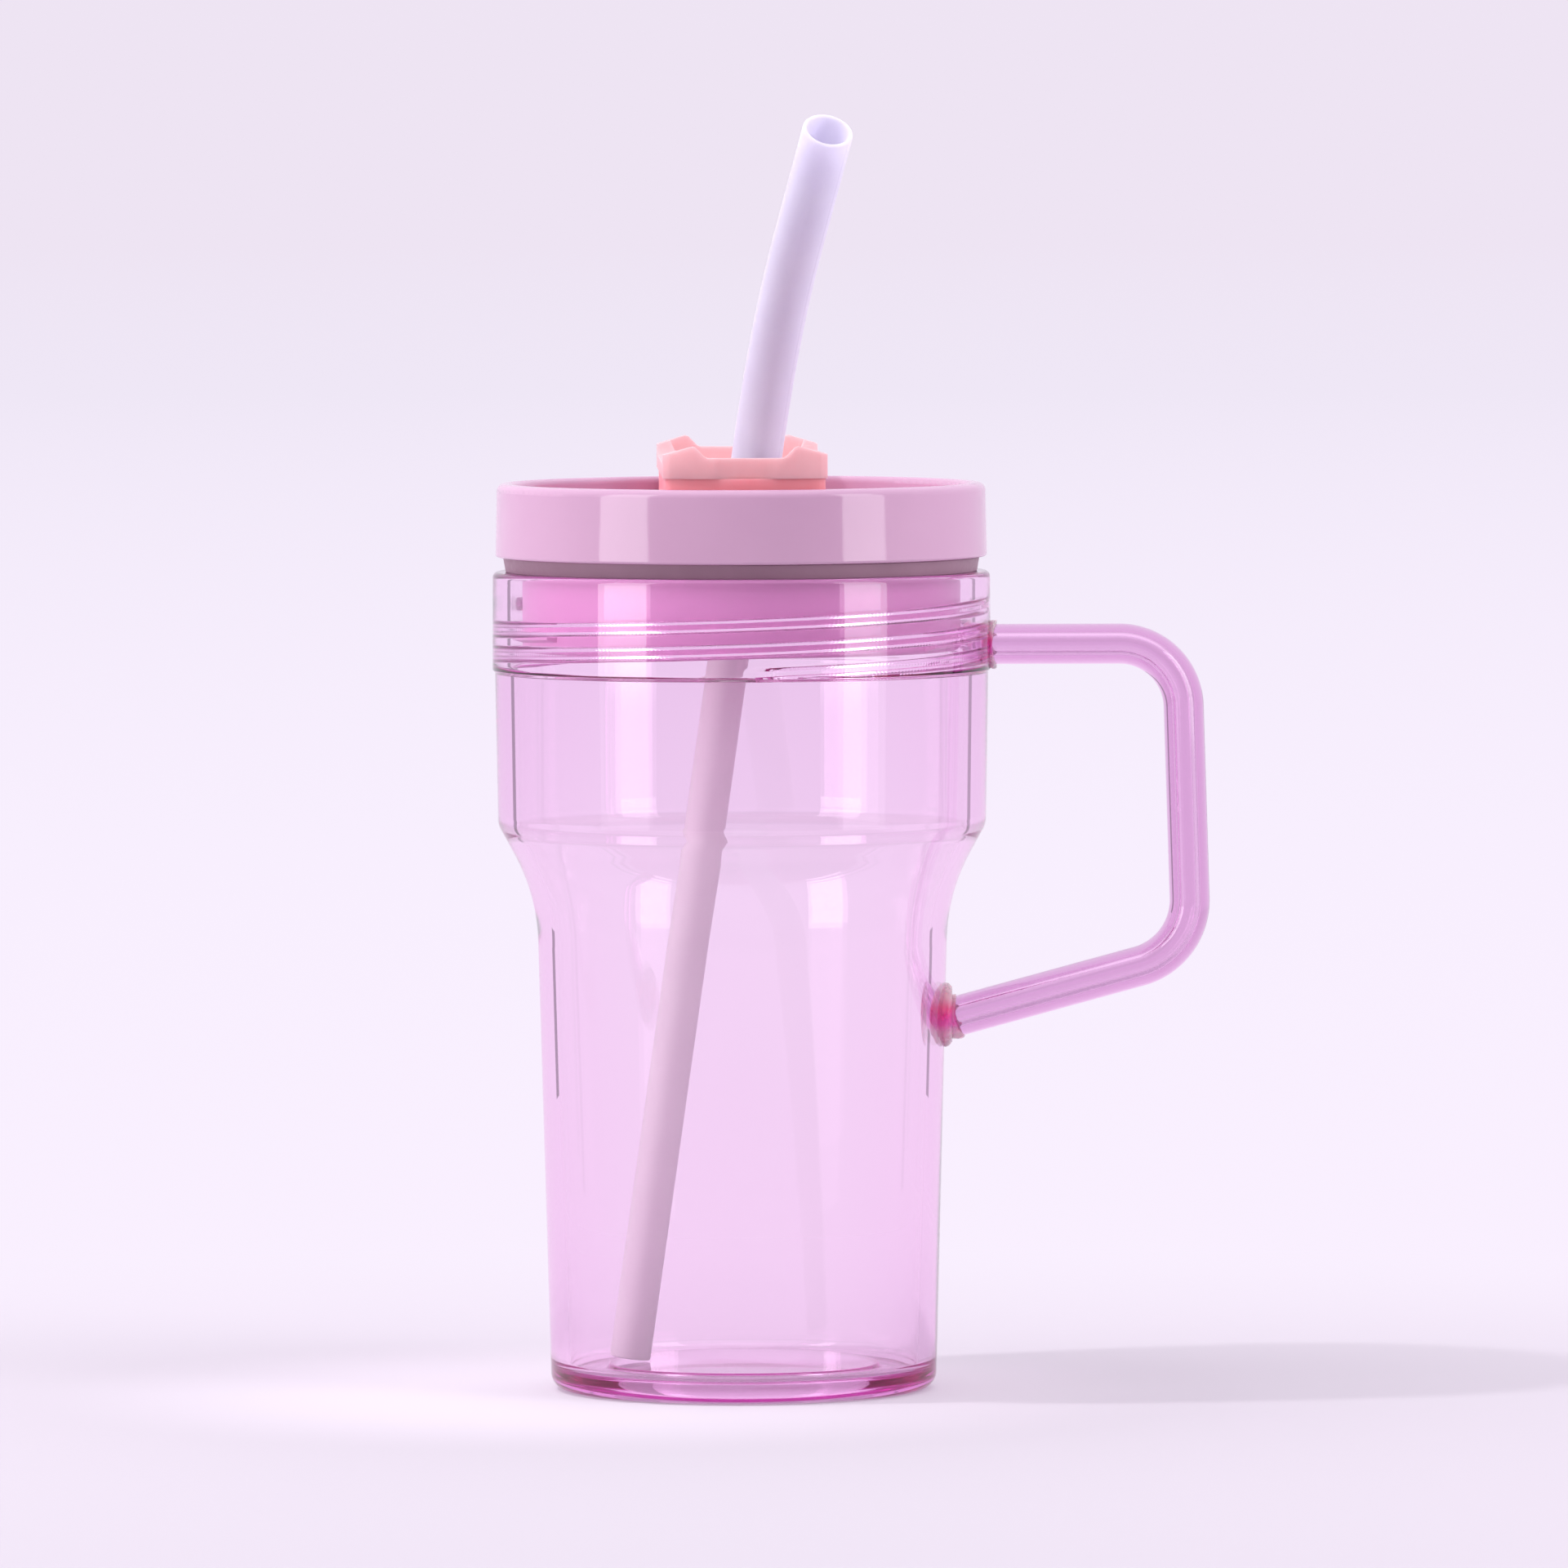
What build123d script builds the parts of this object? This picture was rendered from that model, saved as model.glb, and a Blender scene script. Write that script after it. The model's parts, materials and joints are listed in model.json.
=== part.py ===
from build123d import *
import math
import os

# Clear tumbler with a side handle, a screw lid, a rotating cover bar and a straw.
# Frame: Z up along the cup's axis, origin on the floor under the cup, handle towards +X.
# All sizes are in millimetres. Profiles are turned about Z: each corner is (radius, height, fillet).

# ---------------------------------------------------------------- driving dimensions
# cup
foot_recess_radius = 25.6
foot_recess_depth = 3.7
foot_recess_flare = 1.2           # the recess is this much wider at the floor plane
foot_fillet = 3.2
floor_top = 4.1                   # the ring of floor round the raised disc
floor_fillet = 2.0
floor_disc_radius = 26.4
floor_disc_flare = 0.6
floor_disc_top = 5.2
lower_wall_radius = 37.8          # outer wall, carried down to the floor plane
lower_wall_draft = 0.0262         # growth of the radius per millimetre of height
lower_bore_radius = 34.0
lower_bore_draft = 0.0325
flare_slope = math.tan(math.radians(28.5))
flare_top = 111.0
inner_flare_top = 110.7
flare_fillet = 4.0                # where the flare meets the upper wall, outside and inside
inner_flare_fillet = 7.0
flare_sweep = 38.0                # where the flare runs into the lower wall, outside and inside
inner_flare_sweep = 44.0
upper_wall_radius = 47.85
bore_radius = 44.1
mouth_ledge = 141.2
rim_top = 160.6
mouth_radius = 48.85
mouth_bore_radius = 45.35

# thread: right-handed, two starts
thread_lead = 9.6
thread_starts = 2
cup_ridge_foot = 2.4
cup_ridge_crest = 1.0
cup_ridge_crest_radius = 44.0
cup_ridge_turns = 1.25
cup_ridge_top = 154.1             # height of the ridge's middle where it ends, at the handle side
plug_ridge_foot = 2.0
plug_ridge_crest = 0.8
plug_ridge_crest_radius = 44.9
plug_ridge_turns = 0.2            # short lugs, centred on the +X and the -X side
plug_ridge_drop = 1.6             # the lid's ridge runs this far under the cup's ridge
ridge_root = 0.5                  # how far a ridge is let into its wall

# handle
handle_thickness = 7.9
handle_depth = 10.6
handle_core = 1.9
handle_arm_height = 146.1
handle_outer_corner = (86.3, 146.1)
handle_lower_corner = (88.1, 85.5)
handle_arm_slope = 15.2           # degrees the lower arm rises away from the cup
handle_upper_bend = 12.6
handle_lower_bend = 13.5
upper_collar_size = (13.4, 10.2)  # across and up
upper_collar_reach = 50.5         # distance of its outer face from the axis
lower_pad_size = (15.0, 12.4)
lower_pad_reach = 41.4
lower_collar_size = (11.8, 9.3)
lower_collar_reach = 43.4

# lid
lid_turn = 1.4                    # degrees the lid sits turned in the cup
lid_bottom = 163.5
lid_top = 177.9
lid_radius = 48.2
lid_top_radius = 47.9
recess_radius = 44.5
pan_top = 170.5
pan_bottom = 168.1
skirt_bore_radius = 45.6
boss_radius = 10.8
boss_bore_radius = 9.0
boss_top = 179.45
stop_inner_radius = 33.0
stop_height = 2.4
plug_bottom = 145.2
plug_radius = 42.9
plug_bore_radius = 40.9
plug_flange_radius = 45.5
plug_plate_bottom = 165.6
straw_port_radius = 7.5
straw_port_wall = 1.8
straw_port_bottom = 159.5
opening_distance = 31.0           # from the axis to the drink opening and to the vent
drink_opening = (20.0, 9.0)
vent_radius = 2.0
gasket_bottom_radius = 46.2
gasket_top_radius = 46.7

# rotating cover bar
bar_width = 31.85
bar_radius = 43.0
bar_inset = 0.4
bar_bottom = 171.2
bar_plate_bottom = 172.4
bar_plate_top = 174.2
bar_split = 179.9
bar_deck_top = 181.4
bar_rail_top = 182.6
bar_notch = 183.85
bar_horn = 186.0
bar_corner = 184.5
bar_wall = 1.8
hub_radius = 12.9
hub_bore_radius = 10.9
hub_top = 179.4
deck_hole_radius = 13.5
post_places = [(10.0, 24.0), (-10.0, 24.0), (10.0, -24.0), (-10.0, -24.0)]
post_radius = 1.6
seal_gap = 0.05
drink_seal_size = (24.0, 13.0)
vent_seal_radius = 4.6
seal_peg_radius = 2.5
seal_peg_spacing = 12.0
pivot_flange_radius = 13.1
pivot_bore_radius = 8.1
o_ring_section = 0.6
o_ring_centre_radius = 10.25
o_ring_height = 176.0

# straw
straw_tilt = math.radians(8.2)
straw_pivot_height = 161.5        # where the leaning straw crosses the cup's axis
straw_radius = 4.0
straw_bore_radius = 3.2
straw_floor_gap = 0.2
straw_top = 184.0
sleeve_radius = 4.95
sleeve_bore_radius = 4.05
sleeve_bottom = 172.0
sleeve_bend_height = 208.0
sleeve_bend_radius = 65.0
sleeve_tip_height = 247.0
sleeve_side_lean = math.radians(15.0)
sleeve_front_lean = math.radians(37.0)

os.makedirs("parts", exist_ok=True)
lid_plane = Plane.XY.rotated((0, 0, lid_turn))


# ---------------------------------------------------------------- shared shapes
def half_profile(corners):
    """Closed outline beside the Z axis; each corner is (radius, height, fillet)."""
    points = [(radius, height) for radius, height, _ in corners]
    fillets = [fillet_radius for _, _, fillet_radius in corners]
    with BuildSketch(Plane.XZ) as outline:
        with BuildLine():
            FilletPolyline(points, radius=fillets, close=True)
        make_face()
    return outline.sketch


def thread_ridge(foot_radius, crest_radius, foot_width, crest_width, turns):
    """One helical ridge that starts on the +X side at height 0."""
    with BuildPart() as ridge:
        with BuildLine() as path:
            Helix(pitch=thread_lead, height=thread_lead * turns, radius=foot_radius)
        with BuildSketch(Plane.XZ):
            with BuildLine():
                Polyline(
                    (foot_radius, -foot_width / 2),
                    (crest_radius, -crest_width / 2),
                    (crest_radius, crest_width / 2),
                    (foot_radius, foot_width / 2),
                    close=True,
                )
            make_face()
        sweep(path=path.line, is_frenet=True)
    return ridge.part


def screwed_on(ridge, first_angle, first_height):
    """The ridge and its copies for the other starts, turned and raised to their place."""
    step = 360 / thread_starts
    return [
        ridge.moved(Location((0, 0, first_height), (0, 0, first_angle + start * step)))
        for start in range(thread_starts)
    ]


def bar_outline(inset, top_height):
    """Plan of the cover bar: a strip with ends on a circle, drawn on the lid's turned plane."""
    with BuildSketch(lid_plane.offset(top_height)) as plan:
        Circle(bar_radius - inset)
        Rectangle(bar_width - 2 * inset, 2 * bar_radius, mode=Mode.INTERSECT)
    return plan.sketch


def flare_corner(wall_radius, draft, top_radius, top_height):
    """Where a drafted wall meets the flare that falls from (top_radius, top_height)."""
    height = (top_radius - wall_radius - flare_slope * top_height) / (draft - flare_slope)
    return wall_radius + draft * height, height


def keep(piece, name, colour):
    piece.label = name
    piece.color = Color(*colour)
    export_step(piece, f"parts/{name}.step")


clear_pink = (0.95, 0.80, 0.97, 0.45)
lid_pink = (0.90, 0.66, 0.86)
coral = (0.90, 0.62, 0.66)
deep_coral = (0.90, 0.47, 0.52)
silicone_mauve = (0.66, 0.55, 0.62)
straw_lilac = (0.80, 0.73, 0.88)
straw_rose = (0.84, 0.74, 0.83)

# ---------------------------------------------------------------- cup
outer_flare = flare_corner(lower_wall_radius, lower_wall_draft, upper_wall_radius, flare_top)
inner_flare = flare_corner(lower_bore_radius, lower_bore_draft, bore_radius, inner_flare_top)
outside_of_cup = [
    (0, foot_recess_depth, 0),
    (foot_recess_radius, foot_recess_depth, 0.5),
    (foot_recess_radius + foot_recess_flare, 0, 0.4),
    (lower_wall_radius, 0, foot_fillet),
    (*outer_flare, flare_sweep),
    (upper_wall_radius, flare_top, flare_fillet),
    (upper_wall_radius + 0.5, mouth_ledge - 0.3, 0.3),
    (mouth_radius, mouth_ledge + 0.2, 0.3),
    (mouth_radius - 0.1, rim_top, 1.1),
]
inside_of_cup = [
    (mouth_bore_radius, rim_top, 0.35),
    (mouth_bore_radius, mouth_ledge, 0.8),
    (bore_radius + 0.1, mouth_ledge, 0.3),
    (bore_radius, inner_flare_top, inner_flare_fillet),
    (*inner_flare, inner_flare_sweep),
    (lower_bore_radius + lower_bore_draft * floor_top, floor_top, floor_fillet),
    (floor_disc_radius + floor_disc_flare, floor_top, 0.5),
    (floor_disc_radius, floor_disc_top, 0.5),
    (0, floor_disc_top, 0),
]
cup_ridge = thread_ridge(
    mouth_bore_radius + ridge_root,
    cup_ridge_crest_radius,
    cup_ridge_foot + 0.7,
    cup_ridge_crest,
    cup_ridge_turns,
)
cup_ridge_bottom = cup_ridge_top - thread_lead * cup_ridge_turns

with BuildPart() as cup_body:
    revolve(half_profile(outside_of_cup + inside_of_cup), axis=Axis.Z)
    add(screwed_on(cup_ridge, -360 * cup_ridge_turns, cup_ridge_bottom))
keep(cup_body.part, "cup_body", clear_pink)

# the cup's outer form without its hollow, to shape what is welded onto it
with BuildPart() as cup_form:
    revolve(half_profile([*outside_of_cup[3:], (0, rim_top, 0), (0, 0, 0)]), axis=Axis.Z)

# ---------------------------------------------------------------- handle
arm_slope = math.tan(math.radians(handle_arm_slope))
arm_direction = Vector(1, 0, arm_slope).normalized()
lower_corner = Vector(handle_lower_corner[0], 0, handle_lower_corner[1])
lower_end = lower_corner - arm_direction * (
    (handle_lower_corner[0] - lower_collar_reach) / arm_direction.X
)
lower_end_plane = Plane(origin=lower_end, x_dir=(0, 1, 0), z_dir=arm_direction)
upper_end_plane = Plane(
    origin=(upper_collar_reach, 0, handle_arm_height), x_dir=(0, 1, 0), z_dir=(1, 0, 0)
)

with BuildPart() as handle:
    with BuildLine() as handle_path:
        FilletPolyline(
            (upper_collar_reach, 0, handle_arm_height),
            (handle_outer_corner[0], 0, handle_outer_corner[1]),
            lower_corner,
            lower_end,
            radius=[handle_upper_bend, handle_lower_bend],
        )
    with BuildSketch(upper_end_plane):
        Ellipse(handle_depth / 2, handle_thickness / 2)
    sweep(path=handle_path.line)
    with BuildSketch(upper_end_plane):
        Circle(handle_core / 2)
    sweep(path=handle_path.line, mode=Mode.SUBTRACT)
keep(handle.part, "handle", clear_pink)

with BuildPart() as upper_weld_collar:
    with BuildSketch(upper_end_plane):
        Ellipse(upper_collar_size[0] / 2, upper_collar_size[1] / 2)
    extrude(amount=-4.0)
    fillet(upper_weld_collar.edges().sort_by(Axis.X)[-1], 0.9)
    add(cup_form.part, mode=Mode.SUBTRACT)
keep(upper_weld_collar.part, "upper_weld_collar", clear_pink)

with BuildPart() as lower_weld_collar:
    with BuildSketch(Plane(origin=(lower_pad_reach, 0, lower_end.Z), x_dir=(0, 1, 0), z_dir=(1, 0, 0))):
        Ellipse(lower_pad_size[0] / 2, lower_pad_size[1] / 2)
    extrude(amount=-6.0)
    fillet(lower_weld_collar.edges().sort_by(Axis.X)[-1], 0.7)
    with BuildSketch(lower_end_plane):
        Ellipse(lower_collar_size[0] / 2, lower_collar_size[1] / 2)
    extrude(amount=-6.0)
    add(cup_form.part, mode=Mode.SUBTRACT)
keep(lower_weld_collar.part, "lower_weld_collar", clear_pink)

# ---------------------------------------------------------------- lid
with BuildPart() as lid_cover:
    revolve(
        half_profile(
            [
                (lid_radius, lid_bottom, 0.5),
                (lid_top_radius, lid_top, 1.6),
                (recess_radius + 0.1, lid_top, 1.3),
                (recess_radius, pan_top, 1.5),
                (boss_radius, pan_top, 0.3),
                (boss_radius, boss_top, 0),
                (boss_bore_radius, boss_top, 0),
                (boss_bore_radius, pan_bottom, 0),
                (skirt_bore_radius, pan_bottom, 0),
                (skirt_bore_radius, lid_bottom, 0),
            ]
        ),
        axis=Axis.Z,
    )
    groove = o_ring_section + 0.05
    revolve(
        half_profile(
            [
                (o_ring_centre_radius - o_ring_section, o_ring_height - groove, 0),
                (boss_radius + 1, o_ring_height - groove, 0),
                (boss_radius + 1, o_ring_height + groove, 0),
                (o_ring_centre_radius - o_ring_section, o_ring_height + groove, 0),
            ]
        ),
        axis=Axis.Z,
        mode=Mode.SUBTRACT,
    )
    # two blocks on the pan stop the bar at closed and at a quarter turn
    with BuildSketch(lid_plane.offset(pan_top - 0.2)):
        stop_edge = bar_width / 2 - bar_inset + 0.1
        for side in (-1, 1):
            with Locations((side * (stop_edge + recess_radius), side * (stop_edge + recess_radius))):
                Rectangle(2 * recess_radius, 2 * recess_radius)
        Circle(recess_radius + 0.2, mode=Mode.INTERSECT)
        Circle(stop_inner_radius, mode=Mode.SUBTRACT)
    extrude(amount=stop_height)
    with BuildSketch(lid_plane.offset(pan_bottom - 1)):
        with Locations((0, -opening_distance)):
            SlotOverall(*drink_opening)
        with Locations((0, opening_distance)):
            Circle(vent_radius)
    extrude(amount=pan_top - pan_bottom + 3, mode=Mode.SUBTRACT)
keep(lid_cover.part, "lid_cover", lid_pink)

plug_ridge = thread_ridge(
    plug_radius - ridge_root,
    plug_ridge_crest_radius,
    plug_ridge_foot + 0.3,
    plug_ridge_crest,
    plug_ridge_turns,
)
plug_ridge_angle = -360 * plug_ridge_turns / 2
plug_ridge_middle = cup_ridge_top - thread_lead / thread_starts - plug_ridge_drop
plug_ridge_bottom = plug_ridge_middle - thread_lead * plug_ridge_turns / 2

with BuildPart() as lid_plug:
    revolve(
        half_profile(
            [
                (plug_bore_radius, plug_bottom, 0.6),
                (plug_radius, plug_bottom, 1.2),
                (plug_radius, lid_bottom, 0),
                (plug_flange_radius, lid_bottom, 0),
                (plug_flange_radius, pan_bottom, 0),
                (straw_port_radius, pan_bottom, 0),
                (straw_port_radius, straw_port_bottom, 0),
                (straw_port_radius + straw_port_wall, straw_port_bottom, 0.4),
                (straw_port_radius + straw_port_wall, plug_plate_bottom, 0.8),
                (plug_bore_radius, plug_plate_bottom, 1.5),
            ]
        ),
        axis=Axis.Z,
    )
    add(screwed_on(plug_ridge, plug_ridge_angle, plug_ridge_bottom))
    with BuildSketch(lid_plane.offset(plug_plate_bottom - 1)):
        with Locations((0, -opening_distance)):
            SlotOverall(*drink_opening)
        with Locations((0, opening_distance)):
            Circle(vent_radius)
    extrude(amount=pan_bottom - plug_plate_bottom + 2, mode=Mode.SUBTRACT)
keep(lid_plug.part, "lid_plug", lid_pink)

with BuildPart() as lid_gasket:
    revolve(
        half_profile(
            [
                (plug_radius + 0.05, rim_top, 0.3),
                (gasket_bottom_radius, rim_top, 0.3),
                (gasket_top_radius, lid_bottom, 0.2),
                (plug_radius + 0.05, lid_bottom, 0.2),
            ]
        ),
        axis=Axis.Z,
    )
keep(lid_gasket.part, "lid_gasket", silicone_mauve)

with BuildPart() as pivot_cap:
    revolve(
        half_profile(
            [
                (pivot_bore_radius, pan_top + 2, 0),
                (boss_bore_radius, pan_top + 2, 0.2),
                (boss_bore_radius, boss_top, 0),
                (pivot_flange_radius, boss_top, 0),
                (pivot_flange_radius, boss_top + 1.5, 0.7),
                (pivot_bore_radius, boss_top + 1.5, 0.5),
            ]
        ),
        axis=Axis.Z,
    )
keep(pivot_cap.part, "pivot_cap", lid_pink)

with BuildPart() as hub_o_ring:
    with BuildSketch(Plane.XZ):
        with Locations((o_ring_centre_radius, o_ring_height)):
            Circle(o_ring_section)
    revolve(axis=Axis.Z)
keep(hub_o_ring.part, "hub_o_ring", silicone_mauve)

# the grommet's waist grips the leaning straw, and both mouths open to let it lean any way
waist_slope = math.tan(math.radians(15))
grommet_waist = straw_radius - 0.04
grommet_flange_bottom = straw_port_bottom - 1.5
with BuildPart() as straw_grommet:
    revolve(
        half_profile(
            [
                (grommet_waist + waist_slope * (straw_pivot_height - grommet_flange_bottom), grommet_flange_bottom, 0),
                (straw_port_radius + 1.7, grommet_flange_bottom, 0.4),
                (straw_port_radius + 1.7, straw_port_bottom, 0),
                (straw_port_radius, straw_port_bottom, 0),
                (straw_port_radius, pan_bottom, 0.4),
                (grommet_waist + waist_slope * (pan_bottom - straw_pivot_height), pan_bottom, 0.3),
                (grommet_waist, straw_pivot_height, 4.0),
            ]
        ),
        axis=Axis.Z,
    )
keep(straw_grommet.part, "straw_grommet", silicone_mauve)

# ---------------------------------------------------------------- rotating cover bar
with BuildPart() as cover_bar_base:
    extrude(bar_outline(bar_inset, bar_bottom), amount=bar_split - bar_bottom)
    fillet(cover_bar_base.edges().filter_by(Axis.Z), 2.0)
    extrude(bar_outline(bar_inset + bar_wall, bar_plate_top), amount=bar_split, mode=Mode.SUBTRACT)
    extrude(bar_outline(bar_inset + bar_wall, 0), amount=bar_plate_bottom, mode=Mode.SUBTRACT)
    with BuildSketch(lid_plane.offset(bar_bottom)):
        Circle(hub_radius)
    extrude(amount=hub_top - bar_bottom)
    with BuildSketch(lid_plane.offset(bar_bottom)):
        Circle(hub_bore_radius)
    extrude(amount=hub_top - bar_bottom, mode=Mode.SUBTRACT)
    with BuildSketch(lid_plane.offset(bar_plate_top)):
        with Locations(*post_places):
            Circle(post_radius * 2)
            Circle(post_radius + 0.05, mode=Mode.SUBTRACT)
    extrude(amount=bar_split - bar_plate_top - 0.5)
    with BuildSketch(lid_plane.offset(bar_plate_bottom)):
        for across in (-seal_peg_spacing / 2, seal_peg_spacing / 2):
            with Locations((across, -opening_distance)):
                Circle(seal_peg_radius)
        with Locations((0, opening_distance)):
            Circle(seal_peg_radius)
    extrude(amount=bar_plate_top - bar_plate_bottom, mode=Mode.SUBTRACT)
keep(cover_bar_base.part, "cover_bar_base", deep_coral)

wall_at_top = 2.3
wall_lean = 24
pocket_depth = bar_horn + 1 - bar_deck_top
with BuildPart() as cover_bar_top:
    extrude(bar_outline(0, bar_split), amount=bar_horn + 1 - bar_split)
    fillet(cover_bar_top.edges().filter_by(Axis.Z), 2.2)
    # the pocket between the raised ends, its sides leaning outwards
    pocket_inset = wall_at_top + (bar_horn - bar_deck_top) * math.tan(math.radians(wall_lean))
    extrude(
        bar_outline(pocket_inset, bar_deck_top),
        amount=pocket_depth,
        taper=-wall_lean,
        mode=Mode.SUBTRACT,
    )
    # the outline of both ends: a horn each side of a thumb notch
    with BuildSketch(Plane(origin=lid_plane.origin, x_dir=lid_plane.x_dir, z_dir=-lid_plane.y_dir)) as ends:
        with BuildLine():
            FilletPolyline(
                (-bar_width, bar_corner - 4.0),
                (-bar_width / 2, bar_corner),
                (-9.9, bar_horn + 0.25),
                (-7.6, bar_notch),
                (7.6, bar_notch),
                (9.9, bar_horn + 0.25),
                (bar_width / 2, bar_corner),
                (bar_width, bar_corner - 4.0),
                (bar_width, bar_horn + 5),
                (-bar_width, bar_horn + 5),
                radius=[0, 0, 1.2, 1.6, 1.6, 1.2, 0, 0, 0, 0],
                close=True,
            )
        make_face()
    extrude(amount=2 * bar_radius, both=True, mode=Mode.SUBTRACT)
    # the sides dip between the ends
    with BuildSketch(Plane(origin=lid_plane.origin, x_dir=lid_plane.y_dir, z_dir=lid_plane.x_dir)):
        with BuildLine():
            FilletPolyline(
                (-37.5, bar_horn + 2),
                (-32.0, bar_rail_top),
                (32.0, bar_rail_top),
                (37.5, bar_horn + 2),
                radius=[0, 6.0, 6.0, 0],
                close=True,
            )
        make_face()
    extrude(amount=bar_width, both=True, mode=Mode.SUBTRACT)
    # a shallow scoop for the thumb in each end face
    with BuildSketch(lid_plane.offset(bar_split)):
        for side in (-1, 1):
            with Locations((0, side * (bar_radius + 24.0))):
                Circle(25.2)
    extrude(amount=bar_horn, mode=Mode.SUBTRACT)
    with BuildSketch(lid_plane.offset(bar_split)):
        Circle(deck_hole_radius)
    extrude(amount=bar_horn, mode=Mode.SUBTRACT)
    with BuildSketch(lid_plane.offset(bar_split)):
        with Locations(*post_places):
            Circle(post_radius)
    extrude(amount=bar_plate_top + 0.3 - bar_split)
keep(cover_bar_top.part, "cover_bar_top", coral)

with BuildPart() as drink_seal:
    with BuildSketch(lid_plane.offset(pan_top + seal_gap)):
        with Locations((0, -opening_distance)):
            SlotOverall(*drink_seal_size)
    extrude(amount=bar_plate_bottom - pan_top - seal_gap)
    with BuildSketch(lid_plane.offset(bar_plate_bottom)):
        for across in (-seal_peg_spacing / 2, seal_peg_spacing / 2):
            with Locations((across, -opening_distance)):
                Circle(seal_peg_radius)
    extrude(amount=bar_plate_top - bar_plate_bottom)
    with BuildSketch(lid_plane.offset(bar_plate_top)):
        for across in (-seal_peg_spacing / 2, seal_peg_spacing / 2):
            with Locations((across, -opening_distance)):
                Circle(seal_peg_radius + 0.8)
    extrude(amount=1.0)
keep(drink_seal.part, "drink_seal", silicone_mauve)

with BuildPart() as vent_seal:
    with BuildSketch(lid_plane.offset(pan_top + seal_gap)):
        with Locations((0, opening_distance)):
            Circle(vent_seal_radius)
    extrude(amount=bar_plate_bottom - pan_top - seal_gap)
    with BuildSketch(lid_plane.offset(bar_plate_bottom)):
        with Locations((0, opening_distance)):
            Circle(seal_peg_radius)
    extrude(amount=bar_plate_top - bar_plate_bottom)
    with BuildSketch(lid_plane.offset(bar_plate_top)):
        with Locations((0, opening_distance)):
            Circle(seal_peg_radius + 0.8)
    extrude(amount=1.0)
keep(vent_seal.part, "vent_seal", silicone_mauve)

# ---------------------------------------------------------------- straw
straw_direction = Vector(math.sin(straw_tilt), 0, math.cos(straw_tilt))


def on_straw(height):
    """Point of the straw's centre line at a height."""
    return Vector((height - straw_pivot_height) * math.tan(straw_tilt), 0, height)


straw_bottom = on_straw(floor_disc_top + straw_floor_gap + straw_radius * math.sin(straw_tilt))
with BuildPart() as straw_lower:
    with BuildSketch(Plane(origin=straw_bottom, x_dir=(0, 1, 0), z_dir=straw_direction)):
        Circle(straw_radius)
        Circle(straw_bore_radius, mode=Mode.SUBTRACT)
    extrude(amount=(on_straw(straw_top) - straw_bottom).length)
keep(straw_lower.part, "straw_lower", straw_rose)

tip_direction = Vector(
    math.sin(sleeve_side_lean) * math.cos(sleeve_front_lean),
    -math.sin(sleeve_front_lean),
    math.cos(sleeve_side_lean) * math.cos(sleeve_front_lean),
)
bend = on_straw(sleeve_bend_height)
tip = bend + tip_direction * ((sleeve_tip_height - sleeve_bend_height) / tip_direction.Z)
with BuildPart() as straw_upper:
    with BuildLine() as sleeve_path:
        FilletPolyline(on_straw(sleeve_bottom), bend, tip, radius=[sleeve_bend_radius])
    with BuildSketch(Plane(origin=on_straw(sleeve_bottom), x_dir=(0, 1, 0), z_dir=straw_direction)):
        Circle(sleeve_radius)
        Circle(sleeve_bore_radius, mode=Mode.SUBTRACT)
    sweep(path=sleeve_path.line)
    fillet(straw_upper.faces().sort_by(Axis.Z)[-1].edges(), 0.35)
keep(straw_upper.part, "straw_upper", straw_lilac)

print("straw axis", straw_direction, "through", on_straw(straw_pivot_height))
print("mouth of the straw", tip, "lower end", straw_bottom)
print("handle's lower end", lower_end)
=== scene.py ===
"""Clear tumbler with a side handle, a screw lid, a rotating cover bar and a soft-tipped straw.

Lengths in the sections for the pieces are millimetres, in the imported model's frame: Z up along
the cup's axis, the floor at 0, the handle towards +X. They become metres when a mesh is made.
"""
import json
import math
from functools import partial

import bmesh
import bpy
from mathutils import Matrix, Vector, noise


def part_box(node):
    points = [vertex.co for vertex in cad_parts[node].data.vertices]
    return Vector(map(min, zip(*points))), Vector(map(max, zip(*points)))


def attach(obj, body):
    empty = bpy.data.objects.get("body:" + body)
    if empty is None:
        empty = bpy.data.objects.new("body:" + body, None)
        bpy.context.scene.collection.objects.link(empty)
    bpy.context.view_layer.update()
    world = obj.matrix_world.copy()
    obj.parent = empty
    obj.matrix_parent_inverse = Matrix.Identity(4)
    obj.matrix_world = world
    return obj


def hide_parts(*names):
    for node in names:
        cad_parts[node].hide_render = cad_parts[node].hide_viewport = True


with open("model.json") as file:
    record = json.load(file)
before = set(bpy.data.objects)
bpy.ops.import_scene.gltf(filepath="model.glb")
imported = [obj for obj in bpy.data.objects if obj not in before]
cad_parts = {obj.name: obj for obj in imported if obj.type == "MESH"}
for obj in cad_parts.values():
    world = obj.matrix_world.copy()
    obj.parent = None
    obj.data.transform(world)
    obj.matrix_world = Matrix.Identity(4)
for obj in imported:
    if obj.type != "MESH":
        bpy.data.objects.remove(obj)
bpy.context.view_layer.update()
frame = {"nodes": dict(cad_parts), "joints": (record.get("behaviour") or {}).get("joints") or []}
nodes = frame["nodes"]
MM = 0.001


def lowest(node):
    """Lowest corner of a node's box in millimetres."""
    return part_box(node)[0] / MM


def highest(node):
    """Highest corner of a node's box in millimetres."""
    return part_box(node)[1] / MM


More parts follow.
